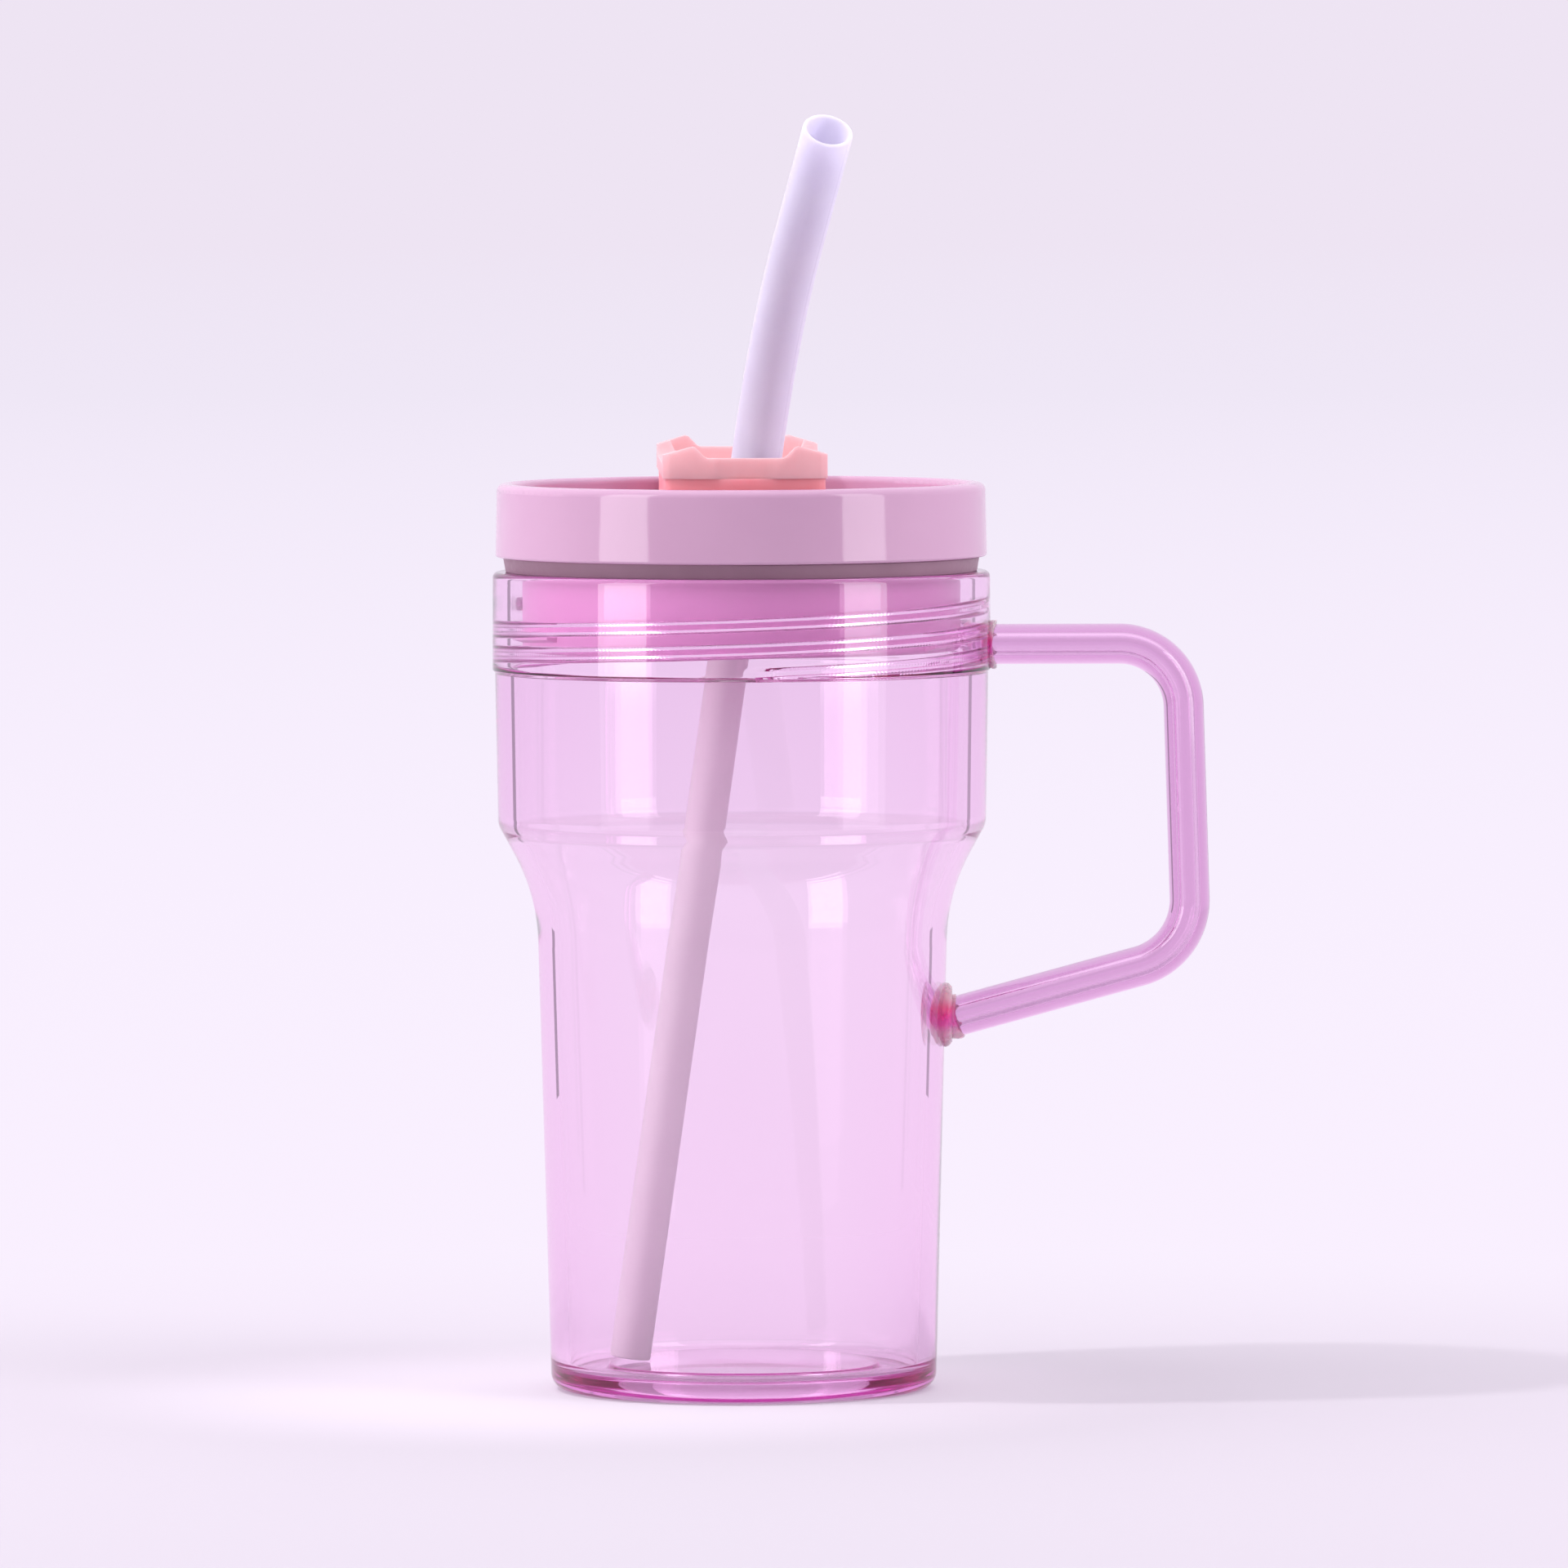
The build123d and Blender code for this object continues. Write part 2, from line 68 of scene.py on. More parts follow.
# ---------------------------------------------------------------- dimensions, in millimetres
# cup
FOOT_RECESS = (25.6, 3.7)             # radius, depth
FOOT_RECESS_FLARE = 1.2
FOOT_FILLET = 3.2
FLOOR_TOP = 4.1                       # the ring of floor round the raised disc
FLOOR_FILLET = 2.0
FLOOR_DISC = (26.4, 5.2)              # radius, height
FLOOR_DISC_FLARE = 0.6
LOWER_WALL = (37.8, 0.0262)           # radius at the floor, growth per millimetre of height
LOWER_BORE = (34.0, 0.0325)
FLARE_SLOPE = math.tan(math.radians(28.5))
FLARE_TOPS = (111.0, 110.7)           # outside, inside
FLARE_FILLETS = (4.0, 7.0)            # where the flare meets the upper wall
FLARE_SWEEPS = (38.0, 44.0)           # where it runs into the lower wall
UPPER_WALL_RADIUS = 47.85
BORE_RADIUS = 44.1
LEDGE = 141.2
RIM_TOP = highest("cup_body").z
MOUTH_RADIUS = highest("cup_body").x
MOUTH_BORE_RADIUS = 45.35

# the cup's thread: right-handed, two starts
THREAD_LEAD = 9.6
THREAD_STARTS = 2
RIDGE_HEIGHT = 1.35
RIDGE_CREST = 0.5                     # half the width of the crest
RIDGE_FOOT = 1.27                     # half the width at the wall
RIDGE_BOTTOM = 142.1                  # heights of the ridges' middles at their two ends
RIDGE_TOP = 154.1
RIDGE_RUN_OUT = 0.35                  # height in which a ridge fades at its ends
THREAD_ZONE_TOP = 158.2
CUTTER_STEPS = (0.045, -0.02)         # fine steps along the flanks, left in the mould by its cutter

# handle
HANDLE_SECTION = (10.6, 7.9)          # front to back, and across in the handle's plane
HANDLE_CORE = 1.9
HANDLE_OUTER_CORNER = (86.3, 146.1)
HANDLE_LOWER_CORNER = (88.1, 85.5)
HANDLE_ARM_SLOPE = math.tan(math.radians(15.2))
HANDLE_BENDS = (12.6, 13.5)
HANDLE_REACH = (50.5, 43.4)           # where the upper and lower arm meet their collars
HANDLE_SUNK = (2.3, 2.9)              # how far each arm runs on inside its weld

# straw
STRAW_PIVOT = 161.5
STRAW_RADIUS = 4.0
STRAW_BORE = 3.2
SLEEVE_RADIUS = 4.95
SLEEVE_BORE = 4.05
SLEEVE_BEND_HEIGHT = 208.0
SLEEVE_BEND_RADIUS = 65.0
SLEEVE_TIP_HEIGHT = 247.0
SLEEVE_LEAN = (math.radians(15.0), math.radians(37.0))   # to the side, and to the front
PARTING_ANGLE = math.radians(-118)
PARTING_HEIGHT = 0.022                # as a share of the radius
PARTING_HALF_WIDTH = 0.06             # in radians


# ---------------------------------------------------------------- outlines and meshes
def rounded(corners):
    """Points of the open outline through corners (x, y, fillet radius), each fillet a fine arc.

    A long straight run gets a point close to each of its ends, so that it shades flat."""
    corners = [(Vector((x, y)), radius) for x, y, radius in corners]
    outline = []
    for i, (here, radius) in enumerate(corners):
        if radius == 0:
            outline.append([here])
            continue
        before = (corners[i - 1][0] - here).normalized()
        after = (corners[i + 1][0] - here).normalized()
        half = before.angle(after) / 2
        centre = here + (before + after).normalized() * (radius / math.sin(half))
        spoke = here + before * (radius / math.tan(half)) - centre
        turn = math.copysign(math.pi - 2 * half, after.cross(before))
        steps = max(3, math.ceil(abs(turn) / min(math.radians(9), 0.9 / radius)))
        outline.append([centre + Matrix.Rotation(turn * k / steps, 2) @ spoke for k in range(steps + 1)])
    points = list(outline[0])
    for before, arc in zip(outline, outline[1:]):
        start, end = before[-1], arc[0]
        if (end - start).length > 1.0:
            step = (end - start).normalized() * 0.15
            points += [start + step, end - step]
        points += arc
    return points


def on_circle(radius, height, angle):
    return Vector((radius * math.cos(angle), radius * math.sin(angle), height)) * MM


def ring(bm, radius, height, count):
    """A horizontal circle of vertices, or one vertex on the axis."""
    if radius == 0:
        return [bm.verts.new(on_circle(0, height, 0))]
    return [bm.verts.new(on_circle(radius, height, math.tau * k / count)) for k in range(count)]


def bridge(bm, first, second):
    """Faces between two rings; one ring may have a whole multiple of the other's vertices."""
    count = max(len(first), len(second))
    for k in range(count):
        corners = [
            first[k * len(first) // count],
            first[(k + 1) % count * len(first) // count],
            second[(k + 1) % count * len(second) // count],
            second[k * len(second) // count],
        ]
        corners = list(dict.fromkeys(corners))
        if len(corners) > 2:
            bm.faces.new(corners)


def mesh_object(bm, name, sharp=50):
    """The finished mesh as a smooth-shaded object; edges sharper than an angle stay sharp."""
    bmesh.ops.recalc_face_normals(bm, faces=bm.faces)
    for face in bm.faces:
        face.smooth = True
    for edge in bm.edges:
        edge.smooth = len(edge.link_faces) == 2 and edge.calc_face_angle() < math.radians(sharp)
    mesh = bpy.data.meshes.new(name)
    bm.to_mesh(mesh)
    bm.free()
    piece = bpy.data.objects.new(name, mesh)
    bpy.context.scene.collection.objects.link(piece)
    return piece


def rounded_path(corners, radii):
    """Points of a path in space through corners, with a fine arc of a radius at each inner one."""
    points = [corners[0]]
    for before, here, after, radius in zip(corners, corners[1:], corners[2:], radii):
        back = (before - here).normalized()
        on = (after - here).normalized()
        half = back.angle(on) / 2
        centre = here + (back + on).normalized() * (radius / math.sin(half))
        spoke = here + back * (radius / math.tan(half)) - centre
        axis = back.cross(on)
        turn = math.pi - 2 * half
        steps = math.ceil(turn / math.radians(2.5))
        for k in range(steps + 1):
            points.append(centre + Matrix.Rotation(-turn * k / steps, 3, axis) @ spoke)
    points.append(corners[-1])
    return points


def path_frames(points, side):
    """(point, side, other side) along a path, the side carried along without twist."""
    frames = []
    for i, here in enumerate(points):
        ahead = (points[min(i + 1, len(points) - 1)] - points[max(i - 1, 0)]).normalized()
        side = (side - ahead * side.dot(ahead)).normalized()
        frames.append((here, side, ahead.cross(side)))
    return frames


def loop(bm, at, across, up, half_widths, count, shape=None):
    """A ring of vertices round one point of a path."""
    verts = []
    for k in range(count):
        angle = math.tau * k / count
        scale = shape(angle) if shape else 1.0
        offset = across * (half_widths[0] * math.cos(angle)) + up * (half_widths[1] * math.sin(angle))
        verts.append(bm.verts.new((at + offset * scale) * MM))
    return verts


def join_rings(bm, rings, closed=False):
    for first, second in zip(rings, rings[1:] + rings[:1] if closed else rings[1:]):
        bridge(bm, first, second)


# ---------------------------------------------------------------- materials
def srgb(red, green, blue):
    """A colour given in screen values from 0 to 255, as the shaders take it."""
    channels = [c / 255 for c in (red, green, blue)]
    linear = [c / 12.92 if c <= 0.04045 else ((c + 0.055) / 1.055) ** 2.4 for c in channels]
    return (*linear, 1.0)


class Shader:
    """A node material with a Principled shader and short calls that add nodes to it."""

    def __init__(self, name, colour, **values):
        self.material = bpy.data.materials.new(name)
        self.material.use_nodes = True
        self.tree = self.material.node_tree
        self.principled = self.tree.nodes["Principled BSDF"]
        self.output = self.tree.nodes["Material Output"]
        self.principled.inputs["Base Color"].default_value = colour
        self.material.diffuse_color = colour
        for socket, value in values.items():
            self.principled.inputs[socket.replace("_", " ")].default_value = value

    def node(self, kind, links=(), **values):
        made = self.tree.nodes.new("ShaderNode" + kind)
        for name, value in values.items():
            if name in made.inputs:
                made.inputs[name].default_value = value
            else:
                setattr(made, name, value)
        for socket, source in links:
            self.tree.links.new(source, made.inputs[socket])
        return made

    def noise(self, scale, detail=3.0, stretch=(1, 1, 1)):
        """Noise in the object's own metres, stretched along an axis by a small number there."""
        place = self.node("TexCoord").outputs["Object"]
        mapped = self.node("Mapping", [("Vector", place)], Scale=stretch)
        texture = self.node("TexNoise", [("Vector", mapped.outputs["Vector"])], Scale=scale, Detail=detail)
        return texture.outputs["Fac"]

    def carry(self, source, limits, kind="LINEAR"):
        """Values from the first two limits carried to the range between the last two."""
        ramp = self.node("MapRange", [("Value", source)], interpolation_type=kind)
        for socket, value in zip(("From Min", "From Max", "To Min", "To Max"), limits):
            ramp.inputs[socket].default_value = value
        return ramp.outputs["Result"]

    def spread(self, source, low, high):
        """The middle values of a noise carried to the range from low to high."""
        return self.carry(source, (0.3, 0.7, low, high))

    def distance_from(self, x, y):
        """Distance on the floor from a place in metres, for an object whose own origin is at 0."""
        place = self.node("TexCoord").outputs["Object"]
        moved = self.node("VectorMath", [(0, place)], operation="SUBTRACT")
        moved.inputs[1].default_value = (x, y, 0)
        length = self.node("VectorMath", [("Vector", moved.outputs["Vector"])], operation="LENGTH")
        return length.outputs["Value"]

    def feed(self, socket, source):
        self.tree.links.new(source, self.principled.inputs[socket])

    def mottle(self, source, colour, other):
        """The base colour wanders between two close colours."""
        mix = self.node("Mix", data_type="RGBA")
        self.tree.links.new(self.spread(source, 0, 1), mix.inputs[0])
        mix.inputs[6].default_value = colour
        mix.inputs[7].default_value = other
        self.feed("Base Color", mix.outputs[2])

    def bump(self, source, height, strength=1.0):
        """Fine relief of about that height in metres."""
        node = self.node("Bump", [("Height", source)], Strength=strength, Distance=height)
        self.feed("Normal", node.outputs["Normal"])

    def absorb(self, colour, density):
        node = self.node("VolumeAbsorption", Color=colour, Density=density)
        self.tree.links.new(node.outputs["Volume"], self.output.inputs["Volume"])


def clear_plastic(name, waviness, colour, density):
    """Clear plastic, its surface drawn into long shallow waves of a height in metres."""
    made = Shader(name, (1, 1, 1, 1), Transmission_Weight=1.0, IOR=1.54, Roughness=0.0)
    made.bump(made.noise(26, 1.0, (1, 1, 0.25)), waviness)
    made.absorb(colour, density)
    return made.material


# colours at shares of a weld's height, between its pale ends
WELD_COLOURS = (
    (0.24, srgb(242, 194, 212)),
    (0.38, srgb(250, 112, 190)),
    (0.5, srgb(250, 86, 172)),
    (0.62, srgb(250, 98, 156)),
    (0.78, srgb(240, 190, 202)),
)


def weld_plastic():
    """Plastic squeezed out of a weld: hot pink in the middle, greyish and frosted at its ends."""
    made = Shader("weld_flash_plastic", srgb(248, 112, 164), Transmission_Weight=0.4, IOR=1.5)
    made.principled.inputs["Subsurface Weight"].default_value = 1.0
    made.principled.inputs["Subsurface Radius"].default_value = (1, 0.6, 0.8)
    made.principled.inputs["Subsurface Scale"].default_value = 0.003
    height = made.node("SeparateXYZ", [("Vector", made.node("TexCoord").outputs["Generated"])]).outputs["Z"]
    ramp = made.node("ValToRGB", [("Fac", height)])
    ramp.color_ramp.elements[0].color = srgb(236, 212, 218)
    ramp.color_ramp.elements[1].color = srgb(234, 208, 214)
    for at, colour in WELD_COLOURS:
        ramp.color_ramp.elements.new(at).color = colour
    made.feed("Base Color", ramp.outputs["Color"])
    made.feed("Roughness", made.spread(made.noise(420, 2.0), 0.12, 0.45))
    made.bump(made.noise(700, 2.0), 0.0002)
    return made.material


def lid_plastic(name, colour, other, roughness=(0.05, 0.10)):
    made = Shader(name, colour, Subsurface_Weight=0.12, Subsurface_Scale=0.004, IOR=1.5)
    made.principled.inputs["Subsurface Radius"].default_value = (1, 0.8, 1)
    made.mottle(made.noise(38, 2.0), colour, other)
    made.feed("Roughness", made.spread(made.noise(900, 3.0), *roughness))
    made.bump(made.noise(60, 1.0), 0.00006)
    return made.material


def coral_plastic(name, colour, other):
    made = Shader(name, colour, Subsurface_Weight=0.6, Subsurface_Scale=0.003, IOR=1.46)
    made.principled.inputs["Subsurface Radius"].default_value = (1, 0.8, 0.8)
    made.mottle(made.noise(120, 3.0), colour, other)
    made.feed("Roughness", made.spread(made.noise(700, 3.0), 0.38, 0.52))
    made.bump(made.noise(5200, 2.0), 0.000012)
    return made.material


def silicone(name, colour, other, subsurface=0.25, painted_glow=0.0):
    """A soft translucent plastic; its painted glow is an emission, painted light that stands in for the light
    it picks up from all round inside the cup.
    """
    made = Shader(name, colour, Subsurface_Weight=subsurface, Subsurface_Scale=0.004, IOR=1.42)
    made.principled.inputs["Emission Color"].default_value = colour
    made.principled.inputs["Emission Strength"].default_value = painted_glow
    made.principled.inputs["Subsurface Radius"].default_value = (1, 1, 1)
    made.principled.inputs["Sheen Weight"].default_value = 0.15
    made.mottle(made.noise(90, 3.0), colour, other)
    made.feed("Roughness", made.spread(made.noise(1100, 3.0), 0.42, 0.6))
    made.bump(made.noise(3800, 2.0), 0.000015)
    return made.material


CLEAR = clear_plastic("clear_pink_plastic", 0.00010, (0.87, 0.0, 0.75, 1), 42)
CLEAR_ROD = clear_plastic("clear_pink_rod", 0.00001, (0.68, 0.0, 0.60, 1), 94)
WELD = weld_plastic()
LID = lid_plastic("lid_pink_plastic", srgb(208, 167, 195), srgb(205, 163, 192))
# painted light: the plug is the lid's own plastic, made brighter here to stand in for the light that the
# clear cup around it holds back
PLUG_BRIGHTENED_LID_PLASTIC = lid_plastic("plug_brightened_lid_plastic", srgb(244, 172, 223), srgb(241, 168, 220), (0.28, 0.36))
CORAL = coral_plastic("coral_plastic", srgb(232, 178, 182), srgb(228, 172, 176))
# the bar's base takes a deeper, more saturated coral than its top
DEEP_CORAL = coral_plastic("deep_coral_plastic", srgb(244, 150, 158), srgb(240, 144, 153))
GASKET = silicone("gasket_silicone", srgb(158, 122, 140), srgb(150, 115, 132))
SOFT_STRAW = silicone("straw_silicone", srgb(211, 205, 232), srgb(207, 200, 228), 1.0)
# painted light: the rigid straw glows faintly, standing in for the light that it picks up inside the cup
RIGID_STRAW = silicone("straw_plastic", srgb(236, 228, 231), srgb(233, 224, 228), 0.0, 0.02)


def dress(piece, material):
    """The piece, or a CAD node, takes one material in every slot."""
    if not piece.material_slots:
        piece.data.materials.append(material)
    for slot in piece.material_slots:
        slot.material = material


def stand_for(piece, body, node, material):
    """A piece made here takes a CAD node's place."""
    dress(piece, material)
    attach(piece, body)
    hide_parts(node)
    return piece


# ---------------------------------------------------------------- cup
def flare_corner(wall, top_radius, top_height):
    """Where a drafted wall meets the flare that falls from a radius and a height."""
    radius, draft = wall
    height = (top_radius - radius - FLARE_SLOPE * top_height) / (draft - FLARE_SLOPE)
    return radius + draft * height, height


def ridge_profile(along, middle):
    """How far the thread stands off the wall, at a distance along the axis from a ridge's middle."""
    flank = (RIDGE_FOOT - abs(along)) / (RIDGE_FOOT - RIDGE_CREST)
    height = RIDGE_HEIGHT * min(max(flank, 0.0), 1.0)
    ends = [(middle - RIDGE_BOTTOM) / RIDGE_RUN_OUT, (RIDGE_TOP - middle) / RIDGE_RUN_OUT]
    for share in ends:
        share = min(max(share, 0.0), 1.0)
        height *= share * share * (3 - 2 * share)
    return height


def thread_radius(angle, height, column):
    """Radius of the mouth's wall with its thread and the fillet above the ledge."""
    pitch = THREAD_LEAD / THREAD_STARTS
    climb = height - RIDGE_TOP - THREAD_LEAD * angle / math.tau
    along = (climb + pitch / 2) % pitch - pitch / 2
    stand = ridge_profile(along, height - along)
    if stand > 0.05 and RIDGE_CREST - 0.12 < abs(along) < RIDGE_FOOT:
        stand += CUTTER_STEPS[0] if column % 3 == 0 else CUTTER_STEPS[1]
    fillet = 0.8
    wall = MOUTH_BORE_RADIUS
    if height < LEDGE + fillet:
        wall += math.sqrt(max(fillet**2 - (LEDGE + fillet - height) ** 2, 0)) - fillet
    return min(wall, MOUTH_BORE_RADIUS - stand)


def thread_zone(bm, columns):
    """The mouth's inner wall, its rows laid along the thread. Returns its top and bottom rings."""
    pitch = THREAD_LEAD / THREAD_STARTS
    beside = [0.0, 0.30, 0.44, 0.52, 0.66, 1.02, 1.2, 1.3, 1.75]    # from a ridge's middle
    spots = [-v for v in beside[:0:-1]] + beside + [pitch / 2]
    ridges_below = 5
    rows = [RIDGE_TOP + n * pitch + spot for n in range(-ridges_below, 2) for spot in spots]
    shift = THREAD_STARTS * len(spots)
    low, high = LEDGE, THREAD_ZONE_TOP
    angles = [math.tau * k / columns for k in range(columns)]
    bottom = [bm.verts.new(on_circle(thread_radius(a, low, k), low, a)) for k, a in enumerate(angles)]
    top = ring(bm, MOUTH_BORE_RADIUS, high, columns)
    inside = {}

    def vertex(k, row):
        if k == columns:
            k, row = 0, row + shift
        height = rows[row] + THREAD_LEAD * k / columns if row < len(rows) else high
        if height <= low + 0.02:
            return bottom[k]
        if height >= high - 0.02:
            return top[k]
        if (k, row) not in inside:
            radius = thread_radius(angles[k], height, k)
            inside[k, row] = bm.verts.new(on_circle(radius, height, angles[k]))
        return inside[k, row]

    for k in range(columns):
        for row in range(len(rows) - 1):
            corners = [vertex(k, row), vertex(k + 1, row), vertex(k + 1, row + 1), vertex(k, row + 1)]
            corners = list(dict.fromkeys(corners))
            flat = all(v in (bottom[k], bottom[(k + 1) % columns]) for v in corners)
            if len(corners) > 2 and not flat:
                bm.faces.new(corners)
    return top, bottom


def make_cup():
    count = 264
    outer_flare = flare_corner(LOWER_WALL, UPPER_WALL_RADIUS, FLARE_TOPS[0])
    inner_flare = flare_corner(LOWER_BORE, BORE_RADIUS, FLARE_TOPS[1])
    foot_radius, foot_depth = FOOT_RECESS
    disc_radius, disc_height = FLOOR_DISC
    outside = [
        (0, foot_depth, 0),
        (foot_radius, foot_depth, 0.5),
        (foot_radius + FOOT_RECESS_FLARE, 0, 0.4),
        (LOWER_WALL[0], 0, FOOT_FILLET),
        (*outer_flare, FLARE_SWEEPS[0]),
        (UPPER_WALL_RADIUS, FLARE_TOPS[0], FLARE_FILLETS[0]),
        (UPPER_WALL_RADIUS + 0.5, LEDGE - 0.3, 0.3),
        (MOUTH_RADIUS, LEDGE + 0.2, 0.3),
        (MOUTH_RADIUS - 0.1, RIM_TOP, 1.1),
        (MOUTH_BORE_RADIUS, RIM_TOP, 0.35),
        (MOUTH_BORE_RADIUS, THREAD_ZONE_TOP + 0.3, 0),
    ]
    inside = [
        (MOUTH_BORE_RADIUS - 1.0, LEDGE, 0),
        (BORE_RADIUS + 0.1, LEDGE, 0.3),
        (BORE_RADIUS, FLARE_TOPS[1], FLARE_FILLETS[1]),
        (*inner_flare, FLARE_SWEEPS[1]),
        (LOWER_BORE[0] + LOWER_BORE[1] * FLOOR_TOP, FLOOR_TOP, FLOOR_FILLET),
        (disc_radius + FLOOR_DISC_FLARE, FLOOR_TOP, 0.5),
        (disc_radius, disc_height, 0.5),
        (0, disc_height, 0),
    ]
    bm = bmesh.new()
    upper = [ring(bm, p.x, p.y, count) for p in rounded(outside)]
    lower = [ring(bm, p.x, p.y, count) for p in rounded(inside)]
    top, bottom = thread_zone(bm, 4 * count)
    join_rings(bm, upper)
    bridge(bm, upper[-1], top)
    bridge(bm, bottom, lower[0])
    join_rings(bm, lower)
    stand_for(mesh_object(bm, "cup", sharp=70), "cup", "cup_body", CLEAR)


# ---------------------------------------------------------------- handle
def make_handle():
    corner = Vector((HANDLE_LOWER_CORNER[0], 0, HANDLE_LOWER_CORNER[1]))
    reach = HANDLE_LOWER_CORNER[0] - HANDLE_REACH[1] + HANDLE_SUNK[1]
    corners = [
        Vector((HANDLE_REACH[0] - HANDLE_SUNK[0], 0, HANDLE_OUTER_CORNER[1])),
        Vector((HANDLE_OUTER_CORNER[0], 0, HANDLE_OUTER_CORNER[1])),
        corner,
        corner - Vector((reach, 0, reach * HANDLE_ARM_SLOPE)),
    ]
    frames = path_frames(rounded_path(corners, HANDLE_BENDS), Vector((0, 1, 0)))
    bm = bmesh.new()
    count = 96
    half = (HANDLE_SECTION[0] / 2, HANDLE_SECTION[1] / 2)
    core = (HANDLE_CORE / 2, HANDLE_CORE / 2)
    outer = [loop(bm, *spot, half, count) for spot in frames]
    inner = [loop(bm, *spot, core, count) for spot in frames]
    join_rings(bm, outer + inner[::-1], closed=True)
    stand_for(mesh_object(bm, "handle_bar"), "cup", "handle", CLEAR_ROD)


# ---------------------------------------------------------------- welds
def lump(at, angle, seed, size):
    """A factor near 1 that makes squeezed-out plastic uneven."""
    spot = Vector((at, math.cos(angle) * 1.4, math.sin(angle) * 1.4)) + Vector((seed, 0, 0))
    return 1 + size * noise.noise(spot)


def squeezed_ring(bm, sections, seed, size, count=96):
    """Uneven rings of (centre, direction, half widths), closed at both ends by a vertex."""
    rings = []
    for at, (centre, along, half_widths) in enumerate(sections):
        across = Vector((0, 1, 0))
        up = along.cross(across)
        uneven = partial(lump, at * 0.45, seed=seed, size=size)
        rings.append(loop(bm, centre, across, up, half_widths, count, uneven))
    for first, centre in ((rings[0], sections[0][0]), (rings[-1], sections[-1][0])):
        middle = bm.verts.new(centre * MM)
        for k in range(count):
            bm.faces.new((first[k], first[(k + 1) % count], middle))
    join_rings(bm, rings)


def pull_in(bm, wall, middle_height, half_height, least):
    """Draw the flash in towards the wall at the bar's own height: its lips stand out above and below."""
    for vert in bm.verts:
        off = min(1.0, abs(vert.co.z / MM - middle_height) / half_height)
        out = vert.co.x / MM - wall
        if out > 0:
            vert.co.x = (wall + out * (least + (1 - least) * off ** 2)) * MM


def make_upper_weld():
    """An uneven ring where the bar's upper end meets the mouth's wall.

    The outline gives distances from just under the wall's surface, and half widths there."""
    middle = Vector((0, 0, HANDLE_OUTER_CORNER[1]))
    along = Vector((1, 0, 0))
    wall = MOUTH_RADIUS - 0.9
    outline = [
        (-1.3, 4.7, 3.5), (-0.6, 5.0, 3.8), (0.5, 5.6, 4.3), (1.1, 6.0, 4.6),
        (1.6, 6.2, 4.75), (2.0, 6.0, 4.7), (2.3, 5.7, 4.4),
    ]
    bm = bmesh.new()
    sections = [(middle + along * (wall + out), along, (deep, high)) for out, deep, high in outline]
    squeezed_ring(bm, sections, 3.0, 0.07)
    pull_in(bm, MOUTH_RADIUS, middle.z, 4.8, 0.15)
    stand_for(mesh_object(bm, "upper_weld", sharp=80), "cup", "upper_weld_collar", WELD)


def make_lower_weld():
    """A pad pressed into the wall below the flare, and a short collar round the bar's lower end.

    Both outlines give distances from the end of the CAD bar, and half widths there."""
    reach = HANDLE_LOWER_CORNER[0] - HANDLE_REACH[1]
    end = Vector((HANDLE_REACH[1], 0, HANDLE_LOWER_CORNER[1] - reach * HANDLE_ARM_SLOPE))
    arm = Vector((1, 0, HANDLE_ARM_SLOPE)).normalized()
    out = Vector((1, 0, 0))
    pad = [(-4.9, 6.5, 5.3), (-4.3, 7.1, 5.9), (-3.6, 7.4, 6.2), (-2.9, 7.2, 6.0), (-2.3, 6.7, 5.5)]
    collar = [(-3.4, 5.4, 4.2), (-2.3, 5.8, 4.6), (-1.4, 5.7, 4.5), (-0.7, 5.5, 4.3), (-0.1, 5.35, 4.1)]
    bm = bmesh.new()
    squeezed_ring(bm, [(end + out * x, out, (deep, high)) for x, deep, high in pad], 7.0, 0.05)
    squeezed_ring(bm, [(end + arm * x, arm, (deep, high)) for x, deep, high in collar], 11.0, 0.08)
    pull_in(bm, end.x - 2.5, end.z, 5.0, 0.35)
    stand_for(mesh_object(bm, "lower_weld", sharp=80), "cup", "lower_weld_collar", WELD)


# ---------------------------------------------------------------- straw
def straw_axis():
    """The straw's direction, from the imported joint."""
    joint = next(j for j in frame["joints"] if j["child"] == "straw")
    return Vector(joint["axis"]).normalized()


def on_straw(height):
    """Point of the straw's centre line at a height."""
    axis = straw_axis()
    return Vector((0, 0, STRAW_PIVOT)) + axis * ((height - STRAW_PIVOT) / axis.z)


def make_tube(name, frames, radii, lip, count, shape=None):
    """A tube with rounded lips along a path, its wall between an outer and an inner radius."""
    bm = bmesh.new()
    outer, inner = radii
    rows = []
    for at, across, up in frames:
        rows.append(loop(bm, at, across, up, (outer, outer), count, shape))
    ends = []
    for sign, (at, across, up) in ((1, frames[-1]), (-1, frames[0])):
        ahead = across.cross(up) * sign
        steps = 8
        arc = []
        for k in range(1, steps):
            angle = math.pi * k / steps
            radius = (outer + inner) / 2 + (outer - inner) / 2 * math.cos(angle)
            arc.append(loop(bm, at + ahead * (lip * math.sin(angle)), across, up, (radius, radius), count))
        ends.append(arc)
    bores = [loop(bm, at, across, up, (inner, inner), count) for at, across, up in frames]
    join_rings(bm, rows + ends[0] + bores[::-1] + ends[1][::-1], closed=True)
    return mesh_object(bm, name)


